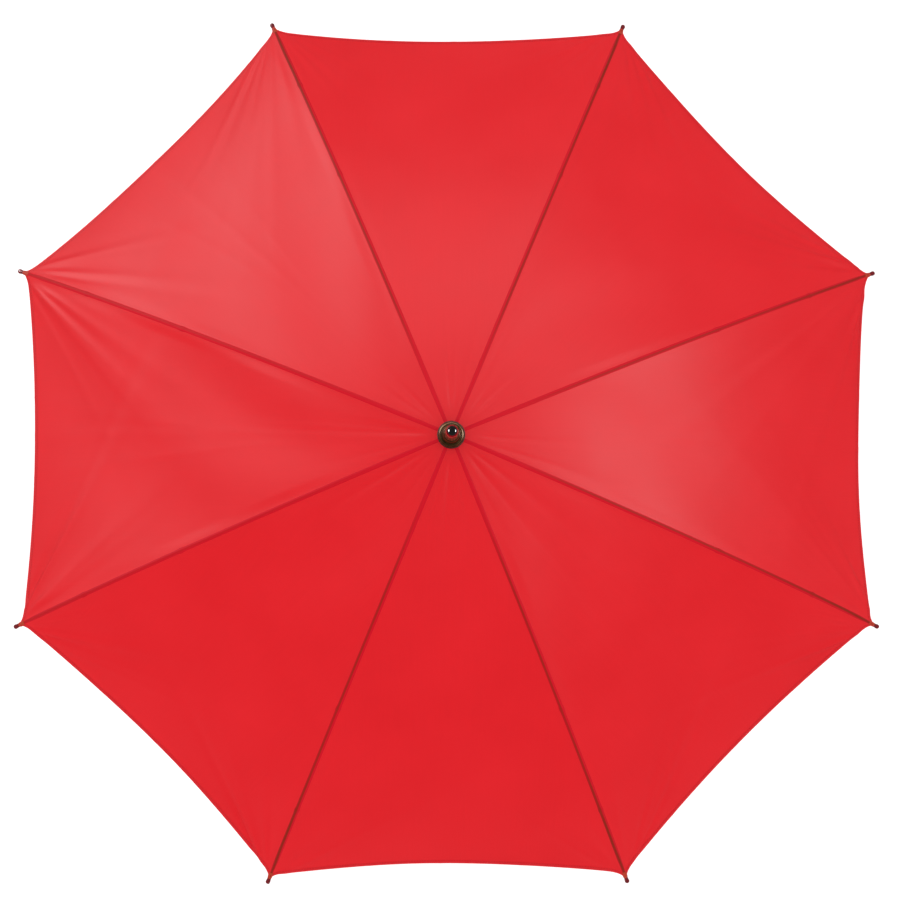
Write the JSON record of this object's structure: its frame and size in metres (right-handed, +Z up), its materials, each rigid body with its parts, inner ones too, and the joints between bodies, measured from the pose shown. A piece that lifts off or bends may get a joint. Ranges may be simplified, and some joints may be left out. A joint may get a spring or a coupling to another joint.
{
  "type": "stick umbrella",
  "caption": "Open stick umbrella: a domed fabric canopy on bowed ribs and stretchers, which fold down as a runner slides along a wooden shaft with a hooked handle.",
  "frame": {"origin": "on the shaft's axis, in the middle of the handle's straight grip", "axes": "+Z up the shaft to the ferrule tip; +X from the grip to the hook's free end; +Y completes a right-handed frame. The ribs stand at 22.5 degrees from +X and every 45 degrees on, rib_1 first"},
  "size_m": [0.9752, 0.9752, 0.8884],
  "materials": {
    "wood": "stained reddish brown and lacquered",
    "bronze": "dark bronze",
    "gloss_black": "glossy black",
    "washer": "dark brown, matt",
    "black_plastic": "black, satin",
    "steel": "bright spring steel",
    "black_steel": "black enamel",
    "rib_tip": "dark red, glossy",
    "canopy": "plain woven nylon, slightly shiny"
  },
  "bodies": {
    "frame": {"shaft": "wood", "crook_handle": "wood", "handle_collar": "bronze", "handle_end_cap": "bronze", "ferrule": "wood", "ferrule_tip": "gloss_black", "crown_cap": "bronze", "rosette_washer": "washer", "top_notch": "black_plastic", "notch_wire": "steel", "runner_stop_pin": "steel"},
    "runner": {"runner_sleeve": "black_plastic", "runner_notch": "black_plastic", "runner_wire": "steel"},
    "top_catch": {"top_catch": "steel"},
    "bottom_catch": {"bottom_catch": "steel"},
    "rib_1": {"rib_1": "black_steel", "rib_tip_1": "rib_tip", "rib_joint_1": "black_steel"},
    "stretcher_1": {"stretcher_1": "black_steel"},
    "gore_1": {"canopy_gore_1": "canopy"},
    "rib_2": {"rib_2": "black_steel", "rib_tip_2": "rib_tip", "rib_joint_2": "black_steel"},
    "stretcher_2": {"stretcher_2": "black_steel"},
    "gore_2": {"canopy_gore_2": "canopy"},
    "rib_3": {"rib_3": "black_steel", "rib_tip_3": "rib_tip", "rib_joint_3": "black_steel"},
    "stretcher_3": {"stretcher_3": "black_steel"},
    "gore_3": {"canopy_gore_3": "canopy"},
    "rib_4": {"rib_4": "black_steel", "rib_tip_4": "rib_tip", "rib_joint_4": "black_steel"},
    "stretcher_4": {"stretcher_4": "black_steel"},
    "gore_4": {"canopy_gore_4": "canopy"},
    "rib_5": {"rib_5": "black_steel", "rib_tip_5": "rib_tip", "rib_joint_5": "black_steel"},
    "stretcher_5": {"stretcher_5": "black_steel"},
    "gore_5": {"canopy_gore_5": "canopy"},
    "rib_6": {"rib_6": "black_steel", "rib_tip_6": "rib_tip", "rib_joint_6": "black_steel"},
    "stretcher_6": {"stretcher_6": "black_steel"},
    "gore_6": {"canopy_gore_6": "canopy"},
    "rib_7": {"rib_7": "black_steel", "rib_tip_7": "rib_tip", "rib_joint_7": "black_steel"},
    "stretcher_7": {"stretcher_7": "black_steel"},
    "gore_7": {"canopy_gore_7": "canopy"},
    "rib_8": {"rib_8": "black_steel", "rib_tip_8": "rib_tip", "rib_joint_8": "black_steel"},
    "stretcher_8": {"stretcher_8": "black_steel"},
    "gore_8": {"canopy_gore_8": "canopy"}
  },
  "joints": [
    {"name": "runner_slide", "type": "slide", "parent": "frame", "child": "runner", "axis": [0, 0, -1], "range_m": [0, 0.40329]},
    {"name": "top_catch_press", "type": "hinge", "parent": "frame", "child": "top_catch", "pos_m": [0.0036, 0, 0.48379], "axis": [0, -1, 0], "range_deg": [0, 9], "stiffness_Nm_per_rad": 0.05},
    {"name": "bottom_catch_press", "type": "hinge", "parent": "frame", "child": "bottom_catch", "pos_m": [0.0036, 0, 0.12961], "axis": [0, 1, 0], "range_deg": [0, 9], "stiffness_Nm_per_rad": 0.05},
    {"name": "rib_fold_1", "type": "hinge", "parent": "frame", "child": "rib_1", "pos_m": [0.01062, 0.0044, 0.69], "axis": [-0.3827, 0.9239, 0], "range_deg": [0, 66]},
    {"name": "stretcher_fold_1", "type": "hinge", "parent": "rib_1", "child": "stretcher_1", "pos_m": [0.25301, 0.1048, 0.6259], "axis": [-0.3827, 0.9239, 0], "range_deg": [-132, 0]},
    {"name": "gore_fold_1", "type": "hinge", "parent": "rib_1", "child": "gore_1", "pos_m": [0.00233, 0.00233, 0.68451], "axis": [-0.6063, -0.6063, -0.5145], "range_deg": [0, 48.12], "deforming": ["canopy_gore_1"]},
    {"name": "rib_fold_2", "type": "hinge", "parent": "frame", "child": "rib_2", "pos_m": [0.0044, 0.01062, 0.69], "axis": [-0.9239, 0.3827, 0], "range_deg": [0, 66]},
    {"name": "stretcher_fold_2", "type": "hinge", "parent": "rib_2", "child": "stretcher_2", "pos_m": [0.1048, 0.25301, 0.6259], "axis": [-0.9239, 0.3827, 0], "range_deg": [-132, 0]},
    {"name": "gore_fold_2", "type": "hinge", "parent": "rib_2", "child": "gore_2", "pos_m": [0, 0.00329, 0.68451], "axis": [0, -0.8575, -0.5145], "range_deg": [0, 48.12], "deforming": ["canopy_gore_2"]},
    {"name": "rib_fold_3", "type": "hinge", "parent": "frame", "child": "rib_3", "pos_m": [-0.0044, 0.01062, 0.69], "axis": [-0.9239, -0.3827, 0], "range_deg": [0, 66]},
    {"name": "stretcher_fold_3", "type": "hinge", "parent": "rib_3", "child": "stretcher_3", "pos_m": [-0.1048, 0.25301, 0.6259], "axis": [-0.9239, -0.3827, 0], "range_deg": [-132, 0]},
    {"name": "gore_fold_3", "type": "hinge", "parent": "rib_3", "child": "gore_3", "pos_m": [-0.00233, 0.00233, 0.68451], "axis": [0.6063, -0.6063, -0.5145], "range_deg": [0, 48.12], "deforming": ["canopy_gore_3"]},
    {"name": "rib_fold_4", "type": "hinge", "parent": "frame", "child": "rib_4", "pos_m": [-0.01062, 0.0044, 0.69], "axis": [-0.3827, -0.9239, 0], "range_deg": [0, 66]},
    {"name": "stretcher_fold_4", "type": "hinge", "parent": "rib_4", "child": "stretcher_4", "pos_m": [-0.25301, 0.1048, 0.6259], "axis": [-0.3827, -0.9239, 0], "range_deg": [-132, 0]},
    {"name": "gore_fold_4", "type": "hinge", "parent": "rib_4", "child": "gore_4", "pos_m": [-0.00329, 0, 0.68451], "axis": [0.8575, 0, -0.5145], "range_deg": [0, 48.12], "deforming": ["canopy_gore_4"]},
    {"name": "rib_fold_5", "type": "hinge", "parent": "frame", "child": "rib_5", "pos_m": [-0.01062, -0.0044, 0.69], "axis": [0.3827, -0.9239, 0], "range_deg": [0, 66]},
    {"name": "stretcher_fold_5", "type": "hinge", "parent": "rib_5", "child": "stretcher_5", "pos_m": [-0.25301, -0.1048, 0.6259], "axis": [0.3827, -0.9239, 0], "range_deg": [-132, 0]},
    {"name": "gore_fold_5", "type": "hinge", "parent": "rib_5", "child": "gore_5", "pos_m": [-0.00233, -0.00233, 0.68451], "axis": [0.6063, 0.6063, -0.5145], "range_deg": [0, 48.12], "deforming": ["canopy_gore_5"]},
    {"name": "rib_fold_6", "type": "hinge", "parent": "frame", "child": "rib_6", "pos_m": [-0.0044, -0.01062, 0.69], "axis": [0.9239, -0.3827, 0], "range_deg": [0, 66]},
    {"name": "stretcher_fold_6", "type": "hinge", "parent": "rib_6", "child": "stretcher_6", "pos_m": [-0.1048, -0.25301, 0.6259], "axis": [0.9239, -0.3827, 0], "range_deg": [-132, 0]},
    {"name": "gore_fold_6", "type": "hinge", "parent": "rib_6", "child": "gore_6", "pos_m": [0, -0.00329, 0.68451], "axis": [0, 0.8575, -0.5145], "range_deg": [0, 48.12], "deforming": ["canopy_gore_6"]},
    {"name": "rib_fold_7", "type": "hinge", "parent": "frame", "child": "rib_7", "pos_m": [0.0044, -0.01062, 0.69], "axis": [0.9239, 0.3827, 0], "range_deg": [0, 66]},
    {"name": "stretcher_fold_7", "type": "hinge", "parent": "rib_7", "child": "stretcher_7", "pos_m": [0.1048, -0.25301, 0.6259], "axis": [0.9239, 0.3827, 0], "range_deg": [-132, 0]},
    {"name": "gore_fold_7", "type": "hinge", "parent": "rib_7", "child": "gore_7", "pos_m": [0.00233, -0.00233, 0.68451], "axis": [-0.6063, 0.6063, -0.5145], "range_deg": [0, 48.12], "deforming": ["canopy_gore_7"]},
    {"name": "rib_fold_8", "type": "hinge", "parent": "frame", "child": "rib_8", "pos_m": [0.01062, -0.0044, 0.69], "axis": [0.3827, 0.9239, 0], "range_deg": [0, 66]},
    {"name": "stretcher_fold_8", "type": "hinge", "parent": "rib_8", "child": "stretcher_8", "pos_m": [0.25301, -0.1048, 0.6259], "axis": [0.3827, 0.9239, 0], "range_deg": [-132, 0]},
    {"name": "gore_fold_8", "type": "hinge", "parent": "rib_8", "child": "gore_8", "pos_m": [0.00329, 0, 0.68451], "axis": [-0.8575, 0, -0.5145], "range_deg": [0, 48.12], "deforming": ["canopy_gore_8"]}
  ],
  "couplings": [
    {"joint": "rib_fold_1", "follows": "runner_slide", "rad_per_m": 2.8563},
    {"joint": "stretcher_fold_1", "follows": "runner_slide", "rad_per_m": -5.7127},
    {"joint": "gore_fold_1", "follows": "runner_slide", "rad_per_m": 2.0825},
    {"joint": "rib_fold_2", "follows": "runner_slide", "rad_per_m": 2.8563},
    {"joint": "stretcher_fold_2", "follows": "runner_slide", "rad_per_m": -5.7127},
    {"joint": "gore_fold_2", "follows": "runner_slide", "rad_per_m": 2.0825},
    {"joint": "rib_fold_3", "follows": "runner_slide", "rad_per_m": 2.8563},
    {"joint": "stretcher_fold_3", "follows": "runner_slide", "rad_per_m": -5.7127},
    {"joint": "gore_fold_3", "follows": "runner_slide", "rad_per_m": 2.0825},
    {"joint": "rib_fold_4", "follows": "runner_slide", "rad_per_m": 2.8563},
    {"joint": "stretcher_fold_4", "follows": "runner_slide", "rad_per_m": -5.7127},
    {"joint": "gore_fold_4", "follows": "runner_slide", "rad_per_m": 2.0825},
    {"joint": "rib_fold_5", "follows": "runner_slide", "rad_per_m": 2.8563},
    {"joint": "stretcher_fold_5", "follows": "runner_slide", "rad_per_m": -5.7127},
    {"joint": "gore_fold_5", "follows": "runner_slide", "rad_per_m": 2.0825},
    {"joint": "rib_fold_6", "follows": "runner_slide", "rad_per_m": 2.8563},
    {"joint": "stretcher_fold_6", "follows": "runner_slide", "rad_per_m": -5.7127},
    {"joint": "gore_fold_6", "follows": "runner_slide", "rad_per_m": 2.0825},
    {"joint": "rib_fold_7", "follows": "runner_slide", "rad_per_m": 2.8563},
    {"joint": "stretcher_fold_7", "follows": "runner_slide", "rad_per_m": -5.7127},
    {"joint": "gore_fold_7", "follows": "runner_slide", "rad_per_m": 2.0825},
    {"joint": "rib_fold_8", "follows": "runner_slide", "rad_per_m": 2.8563},
    {"joint": "stretcher_fold_8", "follows": "runner_slide", "rad_per_m": -5.7127},
    {"joint": "gore_fold_8", "follows": "runner_slide", "rad_per_m": 2.0825}
  ]
}
